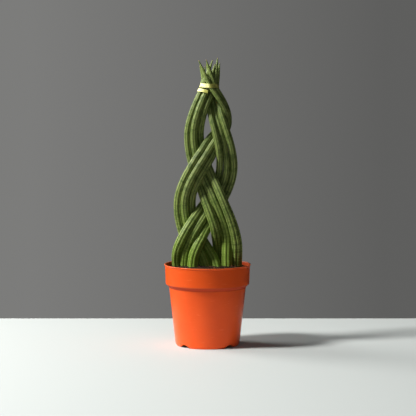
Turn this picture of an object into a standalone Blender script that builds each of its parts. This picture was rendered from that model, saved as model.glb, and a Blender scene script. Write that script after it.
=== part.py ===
"""Plaited cylindrical snake plant in a plastic nursery pot.

Nine round, ridged leaves stand in the potting soil in three strands of three.
The strands are plaited: on its way from one side to the other, a strand goes
over the first strand that it meets and under the next. A flat strip ties the
leaves below their tips. Units are metres, +Z is up, the front of the plant
looks towards -Y, and the origin is the middle of the pot's foot.
"""

import math
from typing import NamedTuple

import bmesh
import bpy
import numpy as np
from mathutils import noise

# Pot: a thin wall that carries a wide collar, a lip round the rim and a foot ring with four arches
POT_HEIGHT = 0.1130
POT_SIDES = 48
LIP_RADIUS = 0.0600
LIP_HEIGHT = 0.0018
COLLAR_TOP_RADIUS = 0.0590
COLLAR_LOW_RADIUS = 0.0580
COLLAR_LOW = 0.0860
BODY_TOP_RADIUS = 0.0532
BODY_TOP = 0.0808
BODY_LOW_RADIUS = 0.0448
BODY_LOW = 0.0045
FOOT_RADIUS = 0.0432
FOOT_INNER_RADIUS = 0.0417
WALL = 0.0012
CORNER = 0.0004
FLOOR_UNDERSIDE = 0.0050
FLOOR_CORNER = 0.0016
ARCH_COUNT = 4
ARCH_FIRST_ANGLE = math.radians(44)
ARCH_HEIGHT = 0.0042
ARCH_RADIUS = 0.0122
ARCH_REACH = (0.0395, 0.0480)
DRAIN_RADIUS = 0.0040
DRAIN_CIRCLE_RADIUS = 0.0270
MIDDLE_DRAIN_RADIUS = 0.0050
CUTTER_SIDES = 32

# Soil
GAP = 0.0003
SOIL_EDGE = 0.1080
SOIL_MOUND = 0.0024
SOIL_LUMPS = 0.0011
SOIL_LUMP_SIZE = 0.0090
SOIL_MOUND_RISE = 2
SOIL_LUMPS_RISE = 6
SOIL_EASE = 0.0001
SOIL_TOP_RINGS = 8
SOCKET_RINGS = 6
SOCKET_SIDES = 16

# Leaves: the radius is the one over the ridges of a leaf of thickness 1
LEAF_RADIUS = 0.0066
LEAF_FOOT = 0.0780
LEAF_RINGS = 36
LEAF_RIDGES = 8
GROOVE_DEPTH = 0.11
LEAF_TAPER = 0.50
TAPER_START = 0.110
TAPER_LENGTH = 0.250
TAPER_CURVE = 1.15
BURIED_TAPER = 0.3
POINT_LENGTH = 0.040
POINT_FULLNESS = 0.9
POINT_RADIUS = 0.0004
PLAIT_DEPTH = 0.0068
ROUTE_START = 0.150

# How the leaves press on each other
LEAF_GAP = 0.0006
SETTLE_ROUNDS = 500
SETTLE_FREE = 0.2
LOOSE = 2.0
PUSH = 1.2
GIVE = (0.2, 1.0)
PULL = (0.20, 0.02)
EVEN = 0.15
EVEN_AT_FIRST = 0.5
REACH = 4

# Tie: a flat strip wound round the leaves, from its end low at the front to its end behind the left side
TIE_HEIGHT = 0.3590
TIE_WIDTH = 0.0055
TIE_THICKNESS = 0.0007
TIE_STEP = math.radians(7.5)
TIE_START = math.radians(-86)
TIE_RISE = ((0, 0.3505), (94, 0.3537), (274, 0.3588), (454, 0.3602), (484, 0.3604))
TIE_DIRECTIONS = 120
TIE_LEVELS = 5
TIE_AHEAD = 0.1


class Leaf(NamedTuple):
    """One leaf: its thickness, its place in the strand counted to the right, where it is planted, and its tip.

    passes are given only for a leaf that parts from its strand near the top.
    """

    thickness: float
    place: int
    planted: tuple
    tip: tuple
    passes: tuple = ()


class Strand(NamedTuple):
    """Three leaves that run side by side.

    turns: (height, sideways) where the strand turns back, or (height, sideways, slope) on its way across.
    passes: (height, side) where it passes another strand: -1 in front of it, 1 behind it.
    spacing: (height, distance) from leaf to leaf, across the strand.
    """

    turns: tuple
    passes: tuple
    spacing: tuple
    leaves: tuple


STRANDS = {
    "left": Strand(
        turns=((0.112, -0.0314), (0.250, 0.0262), (0.368, 0.0045)),
        passes=((0.100, 0), (0.150, -1), (0.200, 1), (0.304, -1), (0.350, 0.7)),
        spacing=((0.108, 0.0118), (0.280, 0.0093), (0.355, 0.0073)),
        leaves=(
            Leaf(0.94, -1, (-0.0388, 0.0150), (-0.0108, 0.0080, 0.3867)),
            Leaf(0.88, 0, (-0.0314, 0.0030), (-0.0018, 0.0080, 0.3894)),
            Leaf(1.03, 1, (-0.0214, -0.0100), (0.0170, 0.0080, 0.3908)),
        ),
    ),
    "middle": Strand(
        turns=((0.0226, 0.0272), (0.1964, -0.0310), (0.278, 0.0051, 0.54), (0.312, 0.0236), (0.382, -0.0060)),
        passes=((0.100, 0), (0.150, 1), (0.252, -1), (0.304, 0.6), (0.345, -1.3)),
        spacing=((0.108, 0.0102), (0.264, 0.0093), (0.312, 0.0055), (0.355, 0.0070)),
        leaves=(
            Leaf(
                0.94, -1, (-0.0060, 0.0120), (-0.0035, 0.0110, 0.3860),
                passes=((0.100, 0), (0.150, 1), (0.252, -1), (0.304, 1.5), (0.350, 1.2)),
            ),
            Leaf(0.88, 0, (0.0000, -0.0030), (-0.0121, -0.0100, 0.3943)),
            Leaf(
                1.06, 1, (0.0125, -0.0110), (-0.0018, -0.0090, 0.3950),
                passes=((0.100, 0), (0.150, 1), (0.252, -1), (0.304, 1.5), (0.345, -0.4)),
            ),
        ),
    ),
    "right": Strand(
        turns=((0.1329, 0.0258), (0.2915, -0.0183), (0.405, 0.014)),
        passes=((0.130, 0), (0.200, -1), (0.252, 1), (0.335, -0.5), (0.359, -0.2)),
        spacing=((0.108, 0.0148), (0.280, 0.0093), (0.355, 0.0073)),
        leaves=(
            Leaf(1.06, -1, (0.0110, 0.0160), (0.0072, 0.0000, 0.3950)),
            Leaf(1.06, 0, (0.0262, -0.0050), (0.0106, 0.0000, 0.3894)),
            Leaf(1.06, 1, (0.0388, 0.0110), (0.0140, 0.0020, 0.3977)),
        ),
    ),
}


def smooth(share):
    """Eases from 0 to 1, flat at both ends."""
    share = np.clip(share, 0, 1)
    return share * share * (3 - 2 * share)


def swing(heights, points):
    """Runs through the points, level at each of them, or at the slope that comes third."""
    values = np.full_like(heights, points[0][1])
    for (low, start, *rise), (high, end, *fall) in zip(points, points[1:]):
        reach = high - low
        share = np.clip((heights - low) / reach, 0, 1)
        bend = share * (1 - share) ** 2 * sum(rise) - share**2 * (1 - share) * sum(fall)
        values += (end - start) * smooth(share) + reach * bend
    return values


def leaf_heights(leaf):
    return np.linspace(LEAF_FOOT, leaf.tip[2], LEAF_RINGS)


def leaf_route(strand, leaf):
    """The line that a leaf's middle follows from its foot to its tip, before the leaves press on each other."""
    heights = leaf_heights(leaf)
    sideways = swing(heights, strand.turns)
    slope = np.gradient(sideways, heights)
    spacing = np.interp(heights, *zip(*strand.spacing))
    sideways += leaf.place * spacing * np.hypot(1, slope)
    depth = PLAIT_DEPTH * swing(heights, leaf.passes or strand.passes)
    rooted = 1 - smooth((heights - LEAF_FOOT) / (ROUTE_START - LEAF_FOOT))
    tipped = (heights - TIE_HEIGHT) / (leaf.tip[2] - TIE_HEIGHT)
    for values, foot, tip in ((sideways, leaf.planted[0], leaf.tip[0]), (depth, leaf.planted[1], leaf.tip[1])):
        values += (foot - values) * rooted
        tied = np.interp(TIE_HEIGHT, heights, values)
        values[tipped > 0] = (tied + (tip - tied) * tipped)[tipped > 0]
    return np.stack((sideways, depth, heights), axis=1)


def leaf_radii(leaf):
    """The ridge radius at each ring: thick at the soil, slowly thinner, then drawn to a point."""
    heights = leaf_heights(leaf)
    risen = np.clip((heights - TAPER_START) / TAPER_LENGTH, 0, None)
    body = LEAF_RADIUS * leaf.thickness * (1 - LEAF_TAPER * risen**TAPER_CURVE)
    buried = smooth((TAPER_START - heights) / (TAPER_START - LEAF_FOOT))
    to_tip = np.clip((leaf.tip[2] - heights) / POINT_LENGTH, 0, 1)
    point = np.sin(math.pi / 2 * to_tip) ** POINT_FULLNESS
    return np.maximum(body * (1 - BURIED_TAPER * buried) * point, POINT_RADIUS)


def nearest(a, b, c, d):
    """The shares along rods a-b and c-d where they come nearest, and the way from the first rod to the second."""
    first, second, between = b - a, d - c, a - c
    along = (first * first).sum(-1)
    across = (second * second).sum(-1)
    both = (first * second).sum(-1)
    down = (first * between).sum(-1)
    up = (second * between).sum(-1)
    s = np.clip((both * up - down * across) / np.maximum(along * across - both * both, 1e-16), 0, 1)
    t = np.clip((both * s + up) / across, 0, 1)
    s = np.clip((both * t - down) / along, 0, 1)
    way = (c + second * t[..., None]) - (a + first * s[..., None])
    return s, t, way


def press_apart(routes, radii):
    """One round of pushing: how far each ring is shifted by the leaves that come too close to it."""
    count, rings, _ = routes.shape
    shift = np.zeros((count, rings, 2))
    touches = np.full((count, rings), 1e-9)
    first, second = np.triu_indices(count, 1)
    for offset in range(-REACH, REACH + 1):
        low = np.arange(max(0, -offset), min(rings - 1, rings - 1 - offset))
        i, j = first[:, None], second[:, None]
        m, n = low[None, :], (low + offset)[None, :]
        s, t, way = nearest(routes[i, m], routes[i, m + 1], routes[j, n], routes[j, n + 1])
        room = radii[i, m] * (1 - s) + radii[i, m + 1] * s + radii[j, n] * (1 - t) + radii[j, n + 1] * t
        push = np.clip(room + LEAF_GAP - np.linalg.norm(way, axis=-1), 0, None)
        flat = way[..., :2] * np.array(GIVE)
        flat /= np.maximum(np.linalg.norm(flat, axis=-1), 1e-9)[..., None]
        for who, ring, weight, sign in ((i, m, 1 - s, -1), (i, m + 1, s, -1), (j, n, 1 - t, 1), (j, n + 1, t, 1)):
            who = np.broadcast_to(who, push.shape)
            ring = np.broadcast_to(ring, push.shape)
            np.add.at(shift, (who, ring), sign * flat * (push * push * weight)[..., None] / 2)
            np.add.at(touches, (who, ring), push * weight)
    return shift / touches[..., None]


def settle(targets, radii):
    """Eases the leaves from a loose plait into a close one, each lying against its neighbours.

    Leaves that overlap push each other apart, more in depth than sideways. A pull towards their own lines
    and an evening out along each leaf fade away, and the last rounds only push.
    """
    routes = targets.copy()
    routes[..., 1] *= LOOSE
    for turn in range(SETTLE_ROUNDS):
        hold = max(0.0, 1 - turn / ((1 - SETTLE_FREE) * SETTLE_ROUNDS))
        routes[:, 1:, :2] += PUSH * press_apart(routes, radii)[:, 1:]
        moved = routes[..., :2] - targets[..., :2]
        neighbours = (moved[:, :-2] + moved[:, 2:]) / 2
        moved[:, 1:-1] += (neighbours - moved[:, 1:-1]) * (EVEN + EVEN_AT_FIRST * hold)
        routes[..., :2] = targets[..., :2] + moved * (1 - hold * np.array(PULL))
    return routes


# Building


def clear_scene():
    for thing in list(bpy.data.objects):
        bpy.data.objects.remove(thing, do_unlink=True)


def new_collection(name):
    collection = bpy.data.collections.new(name)
    bpy.context.scene.collection.children.link(collection)
    return collection


def new_material(name, colour, roughness, metallic=0.0):
    material = bpy.data.materials.new(name)
    material.use_nodes = True
    material.diffuse_color = (*colour, 1)
    shader = material.node_tree.nodes["Principled BSDF"]
    shader.inputs["Base Color"].default_value = (*colour, 1)
    shader.inputs["Roughness"].default_value = roughness
    shader.inputs["Metallic"].default_value = metallic
    return material


def add_object(name, data, home):
    thing = bpy.data.objects.new(name, data)
    home.objects.link(thing)
    return thing


def hide_cutter(thing):
    thing.hide_render = True
    thing.display_type = "WIRE"


def evaluated_mesh(thing):
    """The object's shape, with its modifiers, as a mesh whose caps are welded."""
    graph = bpy.context.evaluated_depsgraph_get()
    mesh = bpy.data.meshes.new_from_object(thing.evaluated_get(graph))
    shape = bmesh.new()
    shape.from_mesh(mesh)
    bmesh.ops.remove_doubles(shape, verts=shape.verts, dist=1e-6)
    shape.to_mesh(mesh)
    shape.free()
    return mesh


def turned(name, outline, home, closed):
    """An outline of (radius, height) points, turned about the vertical axis."""
    count = len(outline)
    mesh = bpy.data.meshes.new(name)
    corners = [(radius, 0, height) for radius, height in outline]
    edges = [(k, (k + 1) % count) for k in range(count if closed else count - 1)]
    mesh.from_pydata(corners, edges, [])
    thing = add_object(name, mesh, home)
    screw = thing.modifiers.new("Turn", "SCREW")
    screw.steps = POT_SIDES
    screw.render_steps = POT_SIDES
    screw.use_merge_vertices = True
    screw.merge_threshold = 0.00001
    return thing


def cut(thing, cutters):
    modifier = thing.modifiers.new("Cut", "BOOLEAN")
    modifier.operation = "DIFFERENCE"
    modifier.operand_type = "COLLECTION"
    modifier.collection = cutters


def cylinder(name, radius, low, high, home):
    """A standing cylinder between two heights."""
    mesh = bpy.data.meshes.new(name)
    shape = bmesh.new()
    ends = {"radius1": radius, "radius2": radius}
    bmesh.ops.create_cone(shape, cap_ends=True, segments=CUTTER_SIDES, depth=high - low, **ends)
    bmesh.ops.translate(shape, verts=shape.verts, vec=(0, 0, (low + high) / 2))
    shape.to_mesh(mesh)
    shape.free()
    return add_object(name, mesh, home)


# Pot


def pot_outline():
    """Down the outside from the rim, round the foot, and back up the inside."""
    floor = FLOOR_UNDERSIDE + WALL
    collar_inside = COLLAR_LOW_RADIUS - WALL
    body_inside = BODY_TOP_RADIUS - WALL
    low_inside = BODY_LOW_RADIUS - WALL + CORNER
    return [
        (LIP_RADIUS - CORNER, POT_HEIGHT),
        (LIP_RADIUS, POT_HEIGHT - CORNER),
        (LIP_RADIUS, POT_HEIGHT - LIP_HEIGHT + CORNER),
        (COLLAR_TOP_RADIUS, POT_HEIGHT - LIP_HEIGHT - CORNER / 2),
        (COLLAR_LOW_RADIUS, COLLAR_LOW),
        (COLLAR_LOW_RADIUS - CORNER, COLLAR_LOW - 2 * CORNER),
        (BODY_TOP_RADIUS + CORNER, BODY_TOP + 2 * CORNER),
        (BODY_TOP_RADIUS, BODY_TOP),
        (BODY_LOW_RADIUS, BODY_LOW),
        (FOOT_RADIUS + 2 * CORNER, BODY_LOW / 3),
        (FOOT_RADIUS, 0),
        (FOOT_INNER_RADIUS, 0),
        (FOOT_INNER_RADIUS + CORNER, FLOOR_UNDERSIDE),
        (MIDDLE_DRAIN_RADIUS, FLOOR_UNDERSIDE),
        (MIDDLE_DRAIN_RADIUS, floor),
        (low_inside - FLOOR_CORNER, floor),
        (low_inside, floor + FLOOR_CORNER),
        (body_inside, BODY_TOP + CORNER),
        (body_inside + CORNER, BODY_TOP + 4 * CORNER),
        (collar_inside - CORNER, COLLAR_LOW - CORNER),
        (collar_inside, COLLAR_LOW + CORNER),
        (COLLAR_TOP_RADIUS - WALL, POT_HEIGHT - LIP_HEIGHT),
        (LIP_RADIUS - LIP_HEIGHT, POT_HEIGHT),
    ]


def build_pot(home):
    cutters = new_collection("pot cutters")
    near, far = ARCH_REACH
    for k in range(ARCH_COUNT):
        angle = ARCH_FIRST_ANGLE + 2 * math.pi * k / ARCH_COUNT
        arch = cylinder(f"arch_{k + 1}", ARCH_RADIUS, near, far, cutters)
        arch.rotation_euler = (math.pi / 2, 0, angle + math.pi / 2)
        arch.location.z = ARCH_HEIGHT - ARCH_RADIUS
        hide_cutter(arch)
        drain = cylinder(f"drain_{k + 1}", DRAIN_RADIUS, 0, 3 * FLOOR_UNDERSIDE, cutters)
        drain.location = (DRAIN_CIRCLE_RADIUS * math.cos(angle), DRAIN_CIRCLE_RADIUS * math.sin(angle), 0)
        hide_cutter(drain)
    pot = turned("pot", pot_outline(), home, closed=True)
    cut(pot, cutters)
    pot.data.materials.append(new_material("orange plastic", (0.72, 0.105, 0.022), 0.42))
    return pot


# Leaves and their sockets in the soil


def cross_section(name, points, home):
    """A closed outline that a leaf's radius scales."""
    curve = bpy.data.curves.new(name, "CURVE")
    curve.dimensions = "2D"
    spline = curve.splines.new("POLY")
    spline.points.add(len(points) - 1)
    for point, (x, y) in zip(spline.points, points):
        point.co = (x, y, 0, 1)
    spline.use_cyclic_u = True
    section = add_object(name, curve, home)
    hide_cutter(section)
    return section


def round_points(count, radius_of):
    angles = [-2 * math.pi * k / count for k in range(count)]
    return [(radius_of(k) * math.cos(angle), radius_of(k) * math.sin(angle)) for k, angle in enumerate(angles)]


def rod(name, route, radii, section, home):
    """A closed rod along the route, with the section's outline at every point."""
    curve = bpy.data.curves.new(name, "CURVE")
    curve.dimensions = "3D"
    curve.bevel_mode = "OBJECT"
    curve.bevel_object = section
    curve.use_fill_caps = True
    spline = curve.splines.new("POLY")
    spline.points.add(len(route) - 1)
    for point, place, radius in zip(spline.points, route, radii):
        point.co = (*place, 1)
        point.radius = radius
    return add_object(name, curve, home)


def build_leaves(names, routes, radii, home, guides):
    ridged = cross_section(
        "ridged section",
        round_points(2 * LEAF_RIDGES, lambda k: 1 - GROOVE_DEPTH * (k % 2)),
        guides,
    )
    material = new_material("leaf green", (0.13, 0.21, 0.06), 0.48)
    for name, route, radius in zip(names, routes, radii):
        leaf = rod(name, route, radius, ridged, home)
        leaf.data.materials.append(material)


def build_sockets(routes, radii, home, guides):
    """The holes that the leaves stand in, a gap wider all round."""
    outside = 1 / math.cos(math.pi / SOCKET_SIDES)
    plain = cross_section("round section", round_points(SOCKET_SIDES, lambda k: outside), guides)
    for number, (route, radius) in enumerate(zip(routes, radii), start=1):
        line = route[:SOCKET_RINGS].copy()
        down = line[0] - line[1]
        line[0] += GAP * down / np.linalg.norm(down)
        drawn = rod("drawn socket", line, radius[:SOCKET_RINGS] + GAP, plain, home)
        socket = add_object(f"socket_{number}", evaluated_mesh(drawn), home)
        bpy.data.objects.remove(drawn, do_unlink=True)
        hide_cutter(socket)


# Soil


def soil_outline():
    """From the middle of the top, out to the wall, down inside the pot and back to the middle of the floor."""
    floor = FLOOR_UNDERSIDE + WALL + GAP
    away = WALL + GAP + SOIL_EASE
    low_edge = BODY_LOW_RADIUS - away + CORNER
    edge = COLLAR_TOP_RADIUS - away - CORNER / 2
    top = [(edge * k / SOIL_TOP_RINGS, SOIL_EDGE) for k in range(SOIL_TOP_RINGS + 1)]
    return top + [
        (COLLAR_LOW_RADIUS - away, COLLAR_LOW + 2 * CORNER),
        (COLLAR_LOW_RADIUS - away - CORNER, COLLAR_LOW),
        (BODY_TOP_RADIUS - away + CORNER / 2, BODY_TOP + 5 * CORNER),
        (BODY_TOP_RADIUS - away, BODY_TOP + CORNER),
        (low_edge, floor + FLOOR_CORNER),
        (low_edge - FLOOR_CORNER, floor),
        (0, floor),
    ]


def raise_soil(mesh):
    """Mounds the top up towards the leaves and makes it lumpy."""
    edge = max(math.hypot(vert.co.x, vert.co.y) for vert in mesh.vertices)
    for vert in mesh.vertices:
        if vert.co.z < SOIL_EDGE - GAP:
            continue
        inward = 1 - math.hypot(vert.co.x, vert.co.y) / edge
        lumps = noise.noise(vert.co / SOIL_LUMP_SIZE)
        vert.co.z += SOIL_MOUND * float(smooth(SOIL_MOUND_RISE * inward))
        vert.co.z += SOIL_LUMPS * lumps * float(smooth(SOIL_LUMPS_RISE * inward))


def build_soil(routes, radii, home, guides):
    sockets = new_collection("soil cutters")
    build_sockets(routes, radii, sockets, guides)
    drawn = turned("drawn soil", soil_outline(), home, closed=False)
    mesh = evaluated_mesh(drawn)
    bpy.data.objects.remove(drawn, do_unlink=True)
    raise_soil(mesh)
    soil = add_object("soil", mesh, home)
    cut(soil, sockets)
    soil.data.materials.append(new_material("potting soil", (0.018, 0.012, 0.008), 0.95))


# Tie


def bundle_at(routes, radii, height):
    """(x, y, radius) of each leaf's level section at one height."""
    section = []
    for route, radius in zip(routes, radii):
        slopes = np.linalg.norm(np.gradient(route[:, :2], route[:, 2], axis=0), axis=1)
        level = radius * np.hypot(1, slopes)
        section.append([np.interp(height, route[:, 2], values) for values in (route[:, 0], route[:, 1], level)])
    return np.array(section)


def bundle_reach(section, middle, angle):
    """How far from the middle a strip that is pulled tight round the bundle lies, in one direction."""
    away = np.linspace(0, 2 * math.pi, TIE_DIRECTIONS, endpoint=False)
    across = (section[:, :1] - middle[0]) * np.cos(away) + (section[:, 1:2] - middle[1]) * np.sin(away)
    tight = (across + section[:, 2:]).max(axis=0)
    facing = np.cos(away - angle)
    ahead = facing > TIE_AHEAD
    return (tight[ahead] / facing[ahead]).min()


def build_tie(routes, radii, home):
    """A strip between a lower and an upper edge, both tight round the leaves, and thickened outwards."""
    middle = bundle_at(routes, radii, TIE_HEIGHT)[:, :2].mean(axis=0)
    total = math.radians(TIE_RISE[-1][0])
    steps = round(total / TIE_STEP)
    corners = []
    for k in range(steps + 1):
        wound = total * k / steps
        height = np.interp(math.degrees(wound), *zip(*TIE_RISE))
        angle = TIE_START - wound
        levels = height + TIE_WIDTH * np.linspace(-0.5, 0.5, TIE_LEVELS)
        tight = np.array([bundle_reach(bundle_at(routes, radii, level), middle, angle) for level in levels])
        straight = np.linspace(tight[0], tight[-1], TIE_LEVELS)
        reach = straight + (tight - straight).max() + GAP
        for level, away in ((levels[0], reach[0]), (levels[-1], reach[-1])):
            corners.append((middle[0] + away * math.cos(angle), middle[1] + away * math.sin(angle), level))
    faces = [(2 * k, 2 * k + 1, 2 * k + 3, 2 * k + 2) for k in range(steps)]
    mesh = bpy.data.meshes.new("tie_strip")
    mesh.from_pydata(corners, [], faces)
    tie = add_object("tie_strip", mesh, home)
    solidify = tie.modifiers.new("Thickness", "SOLIDIFY")
    solidify.thickness = TIE_THICKNESS
    solidify.offset = 1
    tie.data.materials.append(new_material("pale strip", (0.62, 0.60, 0.33), 0.5))


def build():
    clear_scene()
    plant = new_collection("cylindrical snake plant")
    guides = new_collection("guides")
    names = []
    targets = []
    radii = []
    for side, strand in STRANDS.items():
        for number, leaf in enumerate(strand.leaves, start=1):
            names.append(f"leaf_{side}_{number}")
            targets.append(leaf_route(strand, leaf))
            radii.append(leaf_radii(leaf))
    radii = np.array(radii)
    routes = settle(np.array(targets), radii)
    build_pot(plant)
    build_soil(routes, radii, plant, guides)
    build_leaves(names, routes, radii, plant, guides)
    build_tie(routes, radii, plant)


build()
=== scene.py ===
# %% [markdown]
# # A plaited snake plant in its nursery pot
# Nine round leaves grow out of one pot. They were plaited while they were young, three by three,
# and a flat strip holds their tips together. The solids of the part give every place and size.
# This lesson dresses them: ridged waxy leaves, crumbly soil, moulded plastic and a creased strip.

# %% Load the solids
import math
import random

import bmesh
import bpy
import numpy as np
from mathutils import Matrix, Vector, noise


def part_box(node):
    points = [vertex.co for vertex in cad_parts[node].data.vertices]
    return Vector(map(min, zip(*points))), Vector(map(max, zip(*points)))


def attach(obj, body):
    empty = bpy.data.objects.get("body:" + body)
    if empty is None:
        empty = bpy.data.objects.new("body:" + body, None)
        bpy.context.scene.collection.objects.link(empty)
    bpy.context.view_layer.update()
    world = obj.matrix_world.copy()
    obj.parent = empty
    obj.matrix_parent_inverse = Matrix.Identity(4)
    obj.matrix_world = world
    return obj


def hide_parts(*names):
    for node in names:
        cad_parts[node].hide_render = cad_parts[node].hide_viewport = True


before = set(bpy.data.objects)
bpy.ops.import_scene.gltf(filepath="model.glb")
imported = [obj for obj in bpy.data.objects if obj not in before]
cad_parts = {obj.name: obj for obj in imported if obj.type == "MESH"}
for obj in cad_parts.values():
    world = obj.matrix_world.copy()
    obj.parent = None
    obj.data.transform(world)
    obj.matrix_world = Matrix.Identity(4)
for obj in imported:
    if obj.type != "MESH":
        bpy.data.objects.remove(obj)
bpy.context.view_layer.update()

print("pieces in the part:", sorted(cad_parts))

# %% [markdown]
# ## Camera
# The photograph looks slightly down on the plant from nearly two and a half metres away, through a
# long lens. The lens is as high as the place where the pot's rims would look like straight lines.
# The Standard view keeps strong colours as strong as they are, which an orange pot needs.

# %% Place the camera
LENS_MM = 147.1
SENSOR_MM = 36
CAMERA_DISTANCE = 2.344
CAMERA_HEIGHT = 0.392
LOOK_AT = Vector((0.0007, 0, 0.1907))

bpy.ops.object.camera_add(location=(LOOK_AT.x, -CAMERA_DISTANCE, CAMERA_HEIGHT))
camera = bpy.context.object
camera.name = "camera"
camera.data.lens = LENS_MM
camera.data.sensor_width = SENSOR_MM
camera.rotation_euler = (LOOK_AT - camera.location).to_track_quat("-Z", "Y").to_euler()
bpy.context.scene.camera = camera
bpy.context.scene.view_settings.view_transform = "Standard"
print("camera looks down by", round(90 - math.degrees(camera.rotation_euler.x), 1), "degrees")

# %% [markdown]
# ## Helpers for nodes
# Every finish below is a small tree of shader nodes. The first helpers start a material, add a
# node to its tree, and link one node to the next.

# %% Write the node helpers


def new_material(name):
    """A material, its tree of nodes, and the shader that its looks go into."""
    material = bpy.data.materials.new(name)
    material.use_nodes = True
    return material, material.node_tree, material.node_tree.nodes["Principled BSDF"]


def set_input(tree, socket, value):
    """Links an output to the socket, or sets a plain value on it."""
    if isinstance(value, bpy.types.NodeSocket):
        tree.links.new(value, socket)
    else:
        socket.default_value = value


def add_node(tree, kind, inputs=None, **settings):
    """A new node with its settings made and its inputs linked or set."""
    node = tree.nodes.new(kind)
    for key, value in settings.items():
        setattr(node, key, value)
    for key, value in (inputs or {}).items():
        set_input(tree, node.inputs[key], value)
    return node


print("helpers for nodes are ready")

# %% [markdown]
# The next ones reckon with values and blend two colours, so that each finish reads as a list of
# what lies over what.

# %% Write the helpers for values and colours


def calculated(tree, operation, first, second=0.0):
    """The result of a sum, product or wave of two values."""
    return add_node(tree, "ShaderNodeMath", {0: first, 1: second}, operation=operation).outputs[0]


def times(tree, first, second):
    """The product of two values, which keeps what both masks cover."""
    return calculated(tree, "MULTIPLY", first, second)


def eased(tree, value, low, high, low_result=0.0, high_result=1.0):
    """The value's way from low to high, as an even slope between two results."""
    inputs = {"Value": value, "From Min": low, "From Max": high}
    inputs |= {"To Min": low_result, "To Max": high_result}
    return add_node(tree, "ShaderNodeMapRange", inputs).outputs["Result"]


def over(tree, below, above, mask):
    """One colour laid over another where the mask is bright."""
    node = add_node(tree, "ShaderNodeMix", data_type="RGBA")
    set_input(tree, node.inputs["Factor"], mask)
    for socket, value in zip((node.inputs[6], node.inputs[7]), (below, above)):
        set_input(tree, socket, (*value, 1) if isinstance(value, tuple) else value)
    return node.outputs[2]


print("helpers for values and colours are ready")

# %% [markdown]
# The last ones tell a finish where on the piece it is, and let a pattern stand out of the surface.

# %% Write the helpers for places and relief


def object_place(tree):
    """The place of a spot on the object, in metres."""
    return add_node(tree, "ShaderNodeTexCoord").outputs["Object"]


def part_of(tree, vector, axis):
    """One of the three numbers of a vector."""
    return add_node(tree, "ShaderNodeSeparateXYZ", {0: vector}).outputs[axis]


def value_on_mesh(tree, name):
    """A number that the mesh carries on each of its corners."""
    return add_node(tree, "ShaderNodeAttribute", attribute_name=name).outputs["Fac"]


def stretched(tree, vector, scale):
    """The same coordinates, squeezed or stretched along each axis."""
    return add_node(tree, "ShaderNodeMapping", {"Vector": vector, "Scale": scale}).outputs[0]


def raise_surface(tree, shader, *layers):
    """Lets patterns stand out of the surface, each by its own height in metres."""
    total = 0.0
    for pattern, height in layers:
        total = calculated(tree, "ADD", times(tree, pattern, 1000 * height), total)
    bump = add_node(tree, "ShaderNodeBump", {"Height": total, "Distance": 0.001})
    set_input(tree, shader.inputs["Normal"], bump.outputs["Normal"])


print("helpers for places and relief are ready")

# %% [markdown]
# ## Effects that several finishes share
# Real surfaces are never even, and the same few effects come back in every finish. So each effect
# is a node group that is built once and gets its own scale wherever it is used.

# %% Write the helpers for groups


def new_group(name, inputs, output):
    """An empty node group with named sockets, what it is given, and where its result goes."""
    group = bpy.data.node_groups.new(name, "ShaderNodeTree")
    for label, value in inputs.items():
        kind = "NodeSocketVector" if value is None else "NodeSocketFloat"
        socket = group.interface.new_socket(label, in_out="INPUT", socket_type=kind)
        if value is not None:
            socket.default_value = value
    group.interface.new_socket(output, in_out="OUTPUT", socket_type="NodeSocketFloat")
    given = add_node(group, "NodeGroupInput").outputs
    return group, given, add_node(group, "NodeGroupOutput").inputs[output]


def clouds(group, given, detail):
    """Noise at the scale that the group is given."""
    inputs = {"Vector": given["Vector"], "Scale": given["Scale"], "Detail": detail}
    return add_node(group, "ShaderNodeTexNoise", inputs).outputs[0]


def placed(tree, group, **inputs):
    """One use of a node group with its own values."""
    return add_node(tree, "ShaderNodeGroup", inputs, node_tree=group).outputs[0]


print("helpers for groups are ready")

# %% [markdown]
# Blotches come from noise that is cut at two levels. Grain is finer noise, and lets the surface
# break up the light. Dust lies in blotches on whatever looks upwards.

# %% Build the shared effects
sockets = {"Vector": None, "Scale": 5, "Low": 0.4, "High": 0.6}
blotches, given, mask = new_group("blotches", sockets, "Mask")
set_input(blotches, mask, eased(blotches, clouds(blotches, given, 4), given["Low"], given["High"]))

grain, given, height = new_group("grain", {"Vector": None, "Scale": 100}, "Height")
set_input(grain, height, clouds(grain, given, 3))

dust, given, mask = new_group("dust", {"Vector": None, "Scale": 60, "Amount": 0.3}, "Mask")
upward = part_of(dust, add_node(dust, "ShaderNodeNewGeometry").outputs["Normal"], "Z")
lying = eased(dust, upward, -0.1, 0.9)
patches = placed(dust, blotches, Vector=given["Vector"], Scale=given["Scale"], Low=0.35, High=0.7)
set_input(dust, mask, times(dust, times(dust, lying, patches), given["Amount"]))
print("shared effects:", [group.name for group in bpy.data.node_groups])

# %% [markdown]
# ## Floor
# The plant stands on a sheet of pale floor that ends two hands' width behind the pot. The camera
# sees one even tone. Near the pot the floor throws its light back like white paint, and further out
# it throws little back. So the leaves keep their dark sides, and the pot is still lit from below.

# %% Lay the floor
FLOOR_BACK_EDGE = 0.24
FLOOR_REACH = 2.2
FLOOR_SEEN = (0.53, 0.575, 0.575)
FLOOR_ROUGHNESS = 0.7
NEAR_FELT = (0.98, 0.92, 0.84)
FAR_FELT = (0.12, 0.12, 0.11)
NEAR_TO = 0.20
FAR_FROM = 0.26

bpy.ops.object.select_all(action="DESELECT")
bpy.ops.mesh.primitive_plane_add(size=1)
floor = bpy.context.object
floor.name = "floor"
for corner in floor.data.vertices:
    corner.co.x *= 2 * FLOOR_REACH
    corner.co.y = FLOOR_BACK_EDGE if corner.co.y > 0 else -FLOOR_REACH

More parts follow.
